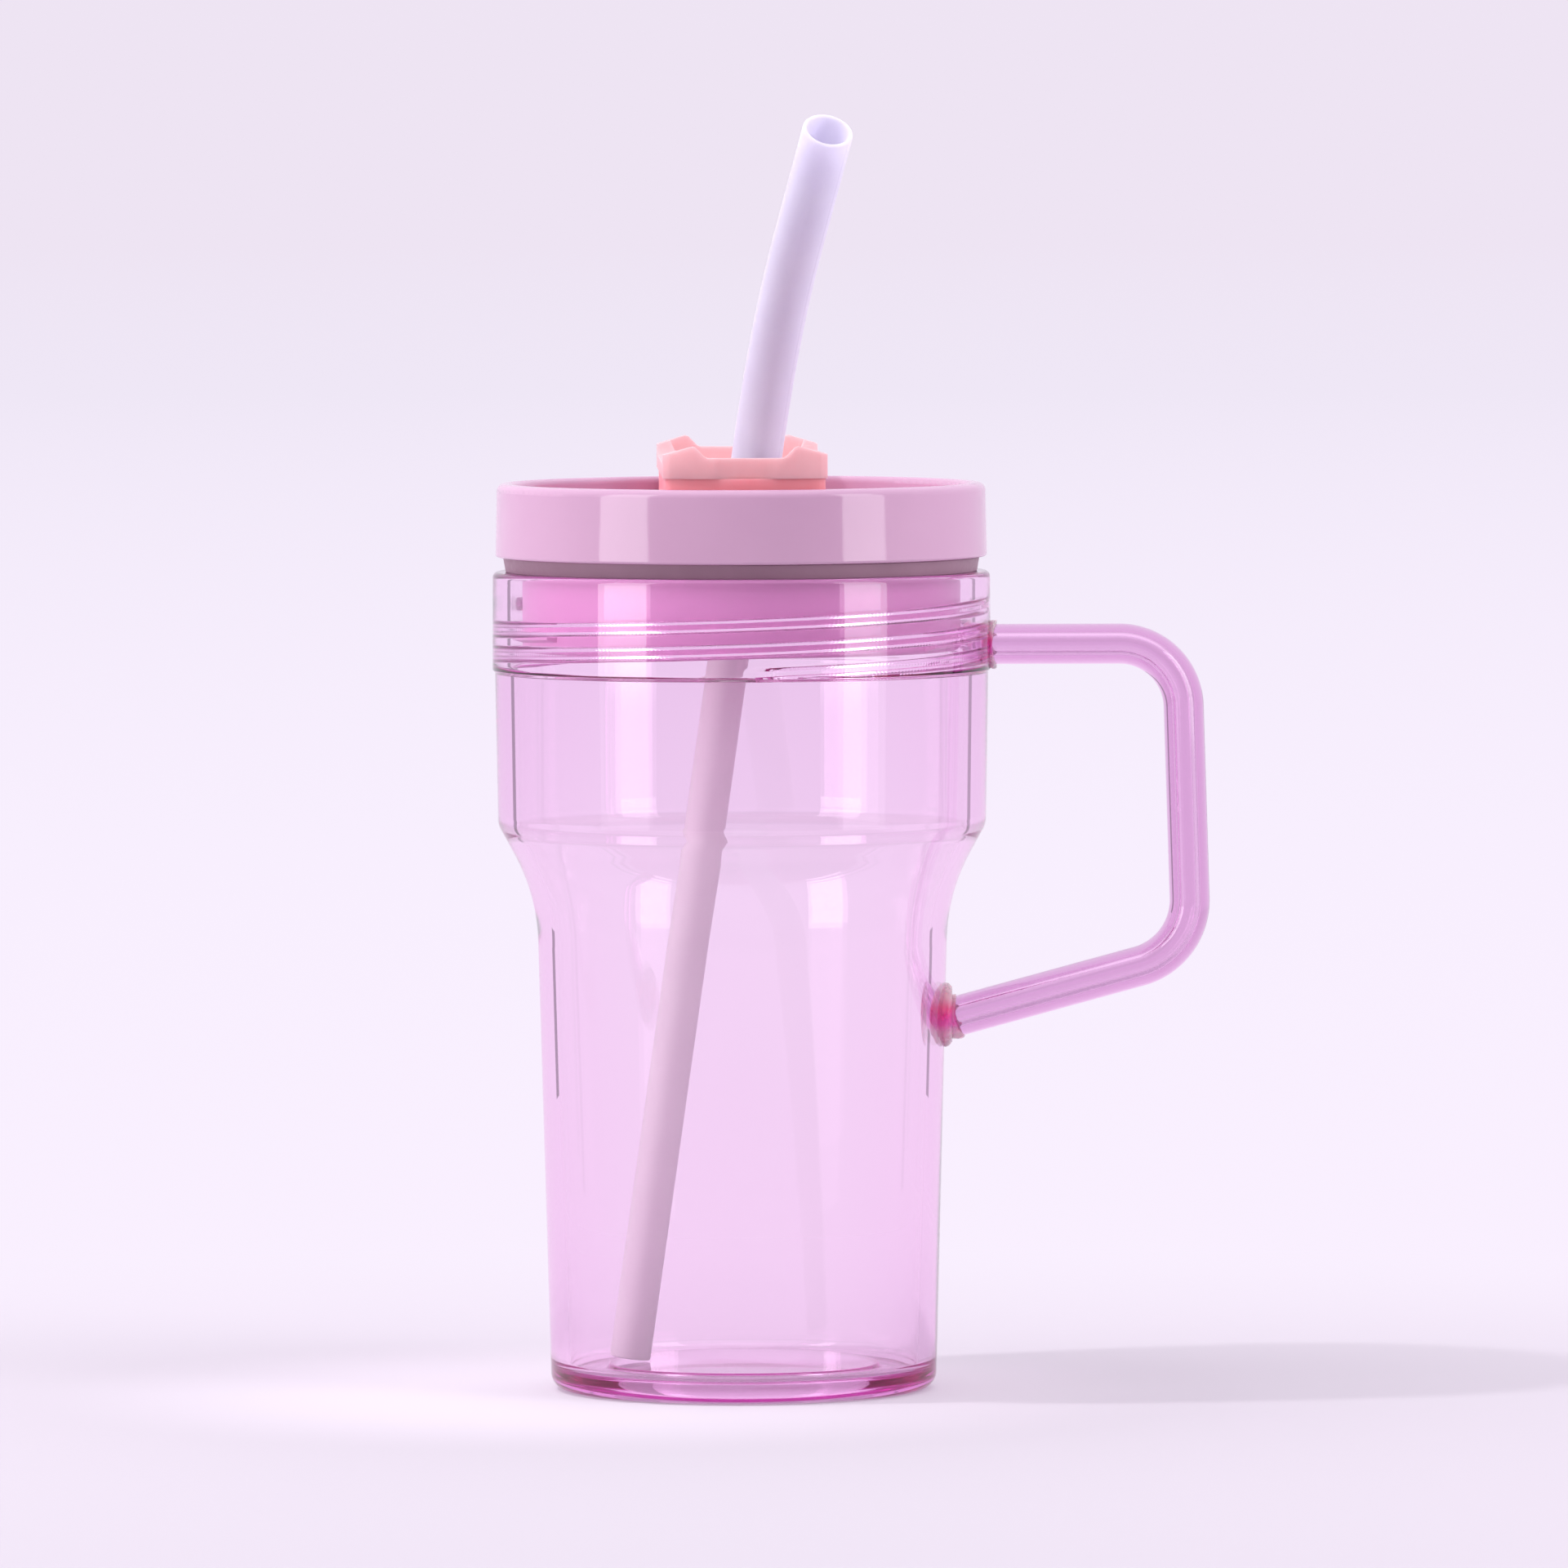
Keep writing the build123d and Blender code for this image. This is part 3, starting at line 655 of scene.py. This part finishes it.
def make_straw():
    axis = straw_axis()
    low = lowest("straw_lower").z + STRAW_RADIUS * math.hypot(axis.x, axis.y)
    high = highest("straw_lower").z - STRAW_RADIUS * math.hypot(axis.x, axis.y)
    lip = 0.3
    ends = [on_straw(low) + axis * lip, on_straw(high) - axis * lip]
    points = [ends[0].lerp(ends[1], k / 24) for k in range(25)]
    frames = path_frames(points, Vector((0, 1, 0)))
    tube = make_tube("rigid_straw", frames, (STRAW_RADIUS, STRAW_BORE), lip, 64)
    stand_for(tube, "straw", "straw_lower", RIGID_STRAW)


def parting_line(angle):
    """A low ridge along the sleeve, left by the two halves of its mould."""
    away = abs((angle - PARTING_ANGLE + math.pi) % math.tau - math.pi)
    return 1 + PARTING_HEIGHT * max(0.0, 1 - away / PARTING_HALF_WIDTH)


def make_sleeve():
    side, front = SLEEVE_LEAN
    direction = Vector((math.sin(side) * math.cos(front), -math.sin(front), math.cos(side) * math.cos(front)))
    bend = on_straw(SLEEVE_BEND_HEIGHT)
    tip = bend + direction * ((SLEEVE_TIP_HEIGHT - SLEEVE_BEND_HEIGHT) / direction.z)
    low = lowest("straw_upper").z + SLEEVE_RADIUS * math.sin(math.acos(straw_axis().z))
    lip = 0.42
    start = on_straw(low) + straw_axis() * lip
    points = rounded_path([start, bend, tip - direction * lip], [SLEEVE_BEND_RADIUS])
    frames = path_frames(points, Vector((0, 1, 0)))
    tube = make_tube("straw_mouthpiece", frames, (SLEEVE_RADIUS, SLEEVE_BORE), lip, 144, parting_line)
    stand_for(tube, "mouthpiece", "straw_upper", SOFT_STRAW)


# ---------------------------------------------------------------- CAD nodes that keep their shape
def soften(piece, width):
    """Rounds the edges of a moulded CAD node by a width in millimetres."""
    weld = piece.modifiers.new("join", "WELD")
    weld.merge_threshold = 0.002 * MM
    bevel = piece.modifiers.new("round", "BEVEL")
    bevel.width = width * MM
    bevel.segments = 3
    bevel.limit_method = "ANGLE"
    bevel.angle_limit = math.radians(22)
    bevel.harden_normals = True


def dress_nodes():
    finishes = {
        LID: ["lid_cover", "pivot_cap"],
        PLUG_BRIGHTENED_LID_PLASTIC: ["lid_plug"],
        CORAL: ["cover_bar_top"],
        DEEP_CORAL: ["cover_bar_base"],
        GASKET: ["lid_gasket", "hub_o_ring", "straw_grommet", "drink_seal", "vent_seal"],
    }
    for material, names in finishes.items():
        for name in names:
            dress(nodes[name], material)
    for name, width in (("cover_bar_top", 0.45), ("cover_bar_base", 0.3)):
        soften(nodes[name], width)


# ---------------------------------------------------------------- floor, light and camera
HORIZON = srgb(238, 228, 243)
# a distance in metres where each change starts and one where it ends, and the values there
# painted light: where the painted pool of light round the foot starts and ends, and how strong it is there
PAINTED_FOOT_LIGHT = (0.03, 0.12, 0.22, 0.0)
PAINTED_FOOT_LIGHT_MIDDLE = (-0.025, -0.012)
LIT_FLOOR = (0.25, 0.52, 0.0, 1.0)
LIT_FLOOR_MIDDLE = (0, -0.2)
FAR_FLOOR = (0.0, 16.0, 0.0, 1.0)


def make_floor():
    """A round floor, lit near the object; its far part glows and fades into the world's horizon."""
    bm = bmesh.new()
    bmesh.ops.create_circle(bm, cap_ends=True, segments=128, radius=60)
    bmesh.ops.translate(bm, verts=bm.verts, vec=(0, 0, -0.1 * MM))
    floor = mesh_object(bm, "floor")
    made = Shader("pale_floor", srgb(209, 203, 211), Roughness=0.9)
    made.principled.inputs["Specular IOR Level"].default_value = 0.1
    # painted light: a pink emission round the foot stands in for the light that the clear cup throws on the
    # floor there, and lifts the shade beside it
    made.principled.inputs["Emission Color"].default_value = (1.0, 0.86, 1.0, 1)
    painted_light = made.carry(made.distance_from(*PAINTED_FOOT_LIGHT_MIDDLE), PAINTED_FOOT_LIGHT, "SMOOTHSTEP")
    made.feed("Emission Strength", painted_light)
    far = made.node("ValToRGB")
    far.color_ramp.elements[0].color = srgb(250, 240, 255)
    far.color_ramp.elements[1].color = HORIZON
    for at, colour in ((0.12, srgb(248, 239, 254)), (0.5, srgb(239, 231, 246))):
        far.color_ramp.elements.new(at).color = colour
    made.tree.links.new(made.carry(made.distance_from(0, 0), FAR_FLOOR), far.inputs["Fac"])
    painted_glow = made.node("Emission", [("Color", far.outputs["Color"])])
    blend = made.node("MixShader", [
        ("Fac", made.carry(made.distance_from(*LIT_FLOOR_MIDDLE), LIT_FLOOR, "SMOOTHSTEP")),
        (1, made.principled.outputs["BSDF"]),
        (2, painted_glow.outputs["Emission"]),
    ])
    made.tree.links.new(blend.outputs["Shader"], made.output.inputs["Surface"])
    dress(floor, made.material)


def standing_card(name, distance, top, azimuths, brightness):
    """An upright card on a circle round the object, hidden from the camera; azimuths as for lights."""
    bm = bmesh.new()
    first, last = (math.radians(azimuth) for azimuth in azimuths)
    steps = 16
    feet, heads = [], []
    for k in range(steps + 1):
        angle = first + (last - first) * k / steps
        x, y = distance * math.sin(angle), -distance * math.cos(angle)
        feet.append(bm.verts.new((x, y, 0)))
        heads.append(bm.verts.new((x, y, top)))
    for k in range(steps):
        bm.faces.new((feet[k], feet[k + 1], heads[k + 1], heads[k]))
    card = mesh_object(bm, name)
    made = Shader(name, (0, 0, 0, 1), Roughness=1.0)
    made.principled.inputs["Specular IOR Level"].default_value = 0.0
    made.principled.inputs["Emission Color"].default_value = HORIZON
    made.principled.inputs["Emission Strength"].default_value = brightness
    dress(card, made.material)
    card.visible_camera = False
    card.visible_shadow = False
    card.visible_volume_scatter = False
    return card


def make_flags():
    """A grey flag round the camera's side for reflections, and two narrow dark cards behind.

    The two cards are seen only through the clear plastic, as the dark lines near its sides."""
    front = standing_card("front_flag", 1.3, 1.6, (-43, 47.6), 0.35)
    front.visible_transmission = False
    back_left = standing_card("back_left_card", 0.56, 0.5, (-141, -137), 0.3)
    back_right = standing_card("back_right_card", 0.56, 0.5, (137, 141), 0.42)
    for card in (back_left, back_right):
        card.visible_diffuse = False
        card.visible_glossy = False


def make_world():
    """A pale room, a little brighter overhead."""
    world = bpy.data.worlds.new("studio")
    bpy.context.scene.world = world
    world.use_nodes = True
    tree = world.node_tree
    background = tree.nodes["Background"]
    place = tree.nodes.new("ShaderNodeTexCoord")
    parts = tree.nodes.new("ShaderNodeSeparateXYZ")
    tree.links.new(place.outputs["Generated"], parts.inputs["Vector"])
    ramp = tree.nodes.new("ShaderNodeValToRGB")
    ramp.color_ramp.elements[0].color = HORIZON
    ramp.color_ramp.elements[1].color = (1.3, 1.25, 1.35, 1)
    tree.links.new(parts.outputs["Z"], ramp.inputs["Fac"])
    tree.links.new(ramp.outputs["Color"], background.inputs["Color"])


def soft_box(name, azimuth, distance, height, size, power):
    """A rectangular light on a circle round the object; azimuth 0 is the camera's side, + to the right."""
    lamp = bpy.data.lights.new(name, "AREA")
    lamp.shape = "RECTANGLE"
    lamp.size, lamp.size_y = size
    lamp.energy = power
    light = bpy.data.objects.new(name, lamp)
    angle = math.radians(azimuth)
    light.location = (distance * math.sin(angle), -distance * math.cos(angle), height)
    aim = Vector((0, 0, height)) - light.location
    light.rotation_euler = aim.to_track_quat("-Z", "Y").to_euler()
    light.visible_camera = False
    bpy.context.scene.collection.objects.link(light)
    return light


def grade(light, stops):
    """A soft box gets dimmer towards the floor: (share of its height, strength)."""
    lamp = light.data
    lamp.use_nodes = True
    tree = lamp.node_tree
    emission = tree.nodes["Emission"]
    across = tree.nodes.new("ShaderNodeNewGeometry")
    parts = tree.nodes.new("ShaderNodeSeparateXYZ")
    ramp = tree.nodes.new("ShaderNodeValToRGB")
    tree.links.new(across.outputs["Parametric"], parts.inputs["Vector"])
    tree.links.new(parts.outputs["Y"], ramp.inputs["Fac"])
    tree.links.new(ramp.outputs["Color"], emission.inputs["Color"])
    (_, first), *inner, (_, last) = stops
    ramp.color_ramp.elements[0].color = (first, first, first, 1)
    ramp.color_ramp.elements[1].color = (last, last, last, 1)
    for at, strength in inner:
        ramp.color_ramp.elements.new(at).color = (strength, strength, strength, 1)


def make_lights():
    """Two soft boxes, a side lamp that only brightens, and a small high one that throws the shadow."""
    key = soft_box("key_left", -55.5, 0.9, 0.45, (0.394, 0.9), 4.1)
    key.visible_diffuse = False
    grade(key, [(0, 0.12), (0.117, 0.22), (0.130, 1.0), (1, 1.0)])
    fill = soft_box("fill_right", 58.5, 0.9, 0.45, (0.35, 0.9), 3.3)
    grade(fill, [(0, 0.2), (0.117, 0.3), (0.130, 1.0), (1, 1.0)])
    side = soft_box("low_left", -79, 2.4, 0.75, (0.35, 0.35), 20)
    side.data.use_shadow = False
    high = soft_box("high_left", -74, 0.55, 0.99, (0.05, 0.05), 3.0)
    high.rotation_euler = (-high.location).to_track_quat("-Z", "Y").to_euler()
    for light in (side, high):
        light.visible_transmission = False
        light.visible_glossy = False


CAMERA_PLACE = (0.00824, -2.727, 0.2626)
CAMERA_DOWN = math.radians(3.02)
CAMERA_ROLL = math.radians(-0.17)
LENS = 319.6                          # millimetres, on a 36 mm sensor


def make_camera():
    lens = bpy.data.cameras.new("camera")
    lens.sensor_width = 36.0
    lens.lens = LENS
    lens.clip_start = 0.1
    lens.clip_end = 200.0
    camera = bpy.data.objects.new("camera", lens)
    camera.location = CAMERA_PLACE
    tilt = Matrix.Rotation(math.pi / 2 - CAMERA_DOWN, 4, "X")
    roll = Matrix.Rotation(CAMERA_ROLL, 4, "Z")
    camera.rotation_euler = (tilt @ roll).to_euler()
    bpy.context.scene.collection.objects.link(camera)
    bpy.context.scene.camera = camera


make_cup()
make_handle()
make_upper_weld()
make_lower_weld()
make_straw()
make_sleeve()
dress_nodes()
make_floor()
make_flags()
make_world()
make_lights()
make_camera()
bpy.context.scene.view_settings.view_transform = "Standard"
# light that the clear walls guide needs many turns before it leaves them
bpy.context.scene.cycles.max_bounces = 1024
bpy.context.scene.cycles.transmission_bounces = 1024
bpy.context.scene.cycles.glossy_bounces = 64
